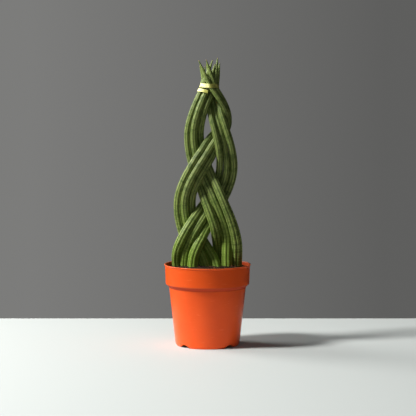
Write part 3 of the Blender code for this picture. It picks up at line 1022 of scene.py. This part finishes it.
def loose_piece(number):
    """A copy of a lump, sized, flattened, turned and laid on the soil, with a tint of its own."""
    bark = number >= CRUMBS
    size = rng.uniform(*(BARK_SIZE if bark else CRUMB_SIZE))
    place = place_on_soil(size)
    flat = BARK_SHAPE if bark else (1, rng.uniform(0.7, 1), rng.uniform(0.6, 1))
    turned = random_turn()
    laid = Matrix.Translation((*place, soil_height(*place) + SUNK * size))
    mesh = lumps[number % LUMPS].data.copy()
    mesh.transform(laid @ turned @ Matrix.Diagonal((*flat, 1)) @ Matrix.Scale(size, 4))
    colour = rng.uniform(0.55, 1) if bark else rng.random() ** 2
    tint = mesh.attributes.new("tint", "FLOAT", "POINT")
    tint.data.foreach_set("value", [colour] * len(mesh.vertices))
    return bpy.data.objects.new("soil_crumbs", mesh)


pieces = [loose_piece(number) for number in range(CRUMBS + BARK)]
for lump in lumps:
    bpy.data.objects.remove(lump, do_unlink=True)
print(len(pieces), "loose pieces")

# %% [markdown]
# So many objects would be hard to handle. They are joined into one, and what sticks out past the
# edge of the soil is pulled back in, so that nothing goes through the pot.

# %% Join the loose pieces
bpy.ops.object.select_all(action="DESELECT")
for piece in pieces:
    bpy.context.scene.collection.objects.link(piece)
    piece.select_set(True)
bpy.context.view_layer.objects.active = pieces[0]
bpy.ops.object.join()
crumbs = bpy.context.object
crumbs.name = "soil_crumbs"
for vert in crumbs.data.vertices:
    away = math.hypot(vert.co.x, vert.co.y)
    if away > SOIL_RADIUS:
        vert.co.x *= SOIL_RADIUS / away
        vert.co.y *= SOIL_RADIUS / away
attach(crumbs, "root")
print(crumbs.name, len(crumbs.data.polygons), "faces in", CRUMBS + BARK, "pieces")

# %% [markdown]
# ## Potting mix
# Wet peat is almost black. Its loose pieces are dark brown, and bark is a warm mid brown. The tint
# that every crumb got from the dice picks its colour.

# %% Colour the soil
PEAT = (0.012, 0.008, 0.006)
PEAT_BROWN = (0.040, 0.022, 0.012)
BARK_BROWN = (0.150, 0.075, 0.032)
PEAT_GRAIN = 0.0004

soil_mix, tree, shader = new_material("potting mix")
place = object_place(tree)
patches = placed(tree, blotches, Vector=place, Scale=600, Low=0.45, High=0.65)
brown = over(tree, PEAT, PEAT_BROWN, patches)
brown = over(tree, brown, BARK_BROWN, eased(tree, value_on_mesh(tree, "tint"), 0.45, 1.0))
set_input(tree, shader.inputs["Base Color"], brown)
set_input(tree, shader.inputs["Roughness"], eased(tree, patches, 0, 1, 0.75, 0.95))
shader.inputs["Specular IOR Level"].default_value = 0.12
raise_surface(tree, shader, (placed(tree, grain, Vector=place, Scale=1500), PEAT_GRAIN))
for piece in (soil, crumbs):
    piece.data.materials.clear()
    piece.data.materials.append(soil_mix)
print("potting mix:", len(tree.nodes), "nodes")

# %% [markdown]
# ## The strip round the tips
# A flat strip of pale plastic goes once and a bit round the bundle. Its solid has the right place
# and width, so a merged copy of it is used. The tail that shows at the front was cut a little
# shorter and narrower. Then the copy is bevelled along its edges, divided finer and rippled,
# because it was pulled tight by hand.

# %% Shape the strip
TAIL_TOP = 0.3565
TAIL_BLEND = 0.002
TAIL_LENGTH = 0.82
TAIL_WIDTH = 0.78
CUT_EDGE = 0.00015
RIPPLE = 0.00022
RIPPLES_A_METRE = 260
WANDER = 0.00025
WANDER_A_METRE = 90

strip_mesh = bpy.data.meshes.new("wound_strip")
shape = merged_copy("tie_strip")
bmesh.ops.dissolve_limit(shape, angle_limit=0.001, verts=shape.verts, edges=shape.edges)
shape.to_mesh(strip_mesh)
shape.free()
strip = bpy.data.objects.new("wound_strip", strip_mesh)
strip_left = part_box("tie_strip")[0][0]
for vert in strip_mesh.vertices:
    below = min(1, max(0, (TAIL_TOP - vert.co.z) / TAIL_BLEND))
    vert.co.x -= below * (1 - TAIL_LENGTH) * (vert.co.x - strip_left)
    vert.co.z += below * (1 - TAIL_WIDTH) * (TAIL_TOP - vert.co.z)
bpy.context.scene.collection.objects.link(strip)
edges = {"limit_method": "ANGLE", "angle_limit": math.radians(50)}
finish_by(strip, "BEVEL", width=CUT_EDGE, segments=2, **edges)
finish_by(strip, "SUBSURF", subdivision_type="SIMPLE", levels=2, render_levels=2)

middle = sum((vert.co for vert in strip.data.vertices), Vector()) / len(strip.data.vertices)
for vert in strip.data.vertices:
    out = Vector((vert.co.x - middle.x, vert.co.y - middle.y, 0)).normalized()
    level = Vector((vert.co.x, vert.co.y, 0.3 * vert.co.z))
    vert.co += out * RIPPLE * (0.8 + noise.noise(level * RIPPLES_A_METRE))
    vert.co.z += WANDER * noise.noise(level * WANDER_A_METRE)
join_doubles(strip, SAME_PLACE)
bpy.ops.object.shade_smooth_by_angle(angle=math.radians(35))
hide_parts("tie_strip")
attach(strip, "root")
print(strip.name, len(strip.data.polygons), "faces")

# %% [markdown]
# ## Pale plastic
# The strip is a cream colour with a green cast, with olive blotches. Towards the right and on the
# tail it is painted olive as painted shade, where it turns away from the light. Fine lines run along
# it from the way it was drawn.

# %% Colour the strip
CREAM = (0.900, 0.890, 0.420)
OLIVE = (0.300, 0.310, 0.040)
STRIP_SHADE_FROM = 0.0010
STRIP_SHADE_TO = 0.0032
TAIL_SHADE = 0.0068
LINE_HEIGHT = 0.0001

strip_skin, tree, shader = new_material("pale strip")
place = object_place(tree)
pulled = stretched(tree, place, (90, 90, 2200))
olive_blotches = placed(tree, blotches, Vector=place, Scale=150, Low=0.45, High=0.62)
cream = over(tree, CREAM, OLIVE, times(tree, olive_blotches, 0.55))
# Painted shade: the right side of the strip and its tail are painted olive.
tail = eased(tree, part_of(tree, place, "Z"), TAIL_TOP + 0.001, TAIL_TOP - 0.001, 0, TAIL_SHADE)
to_right = calculated(tree, "ADD", part_of(tree, place, "X"), tail)
cream = over(tree, cream, OLIVE, eased(tree, to_right, STRIP_SHADE_FROM, STRIP_SHADE_TO, 0, 0.85))
lines = placed(tree, blotches, Vector=pulled, Scale=1.0, Low=0.45, High=0.6)
cream = over(tree, cream, OLIVE, times(tree, lines, 0.25))
set_input(tree, shader.inputs["Base Color"], cream)
set_input(tree, shader.inputs["Roughness"], eased(tree, lines, 0, 1, 0.38, 0.52))
raise_surface(tree, shader, (placed(tree, grain, Vector=pulled, Scale=1.0), LINE_HEIGHT))
strip.data.materials.clear()
strip.data.materials.append(strip_skin)
print("pale strip:", len(tree.nodes), "nodes")
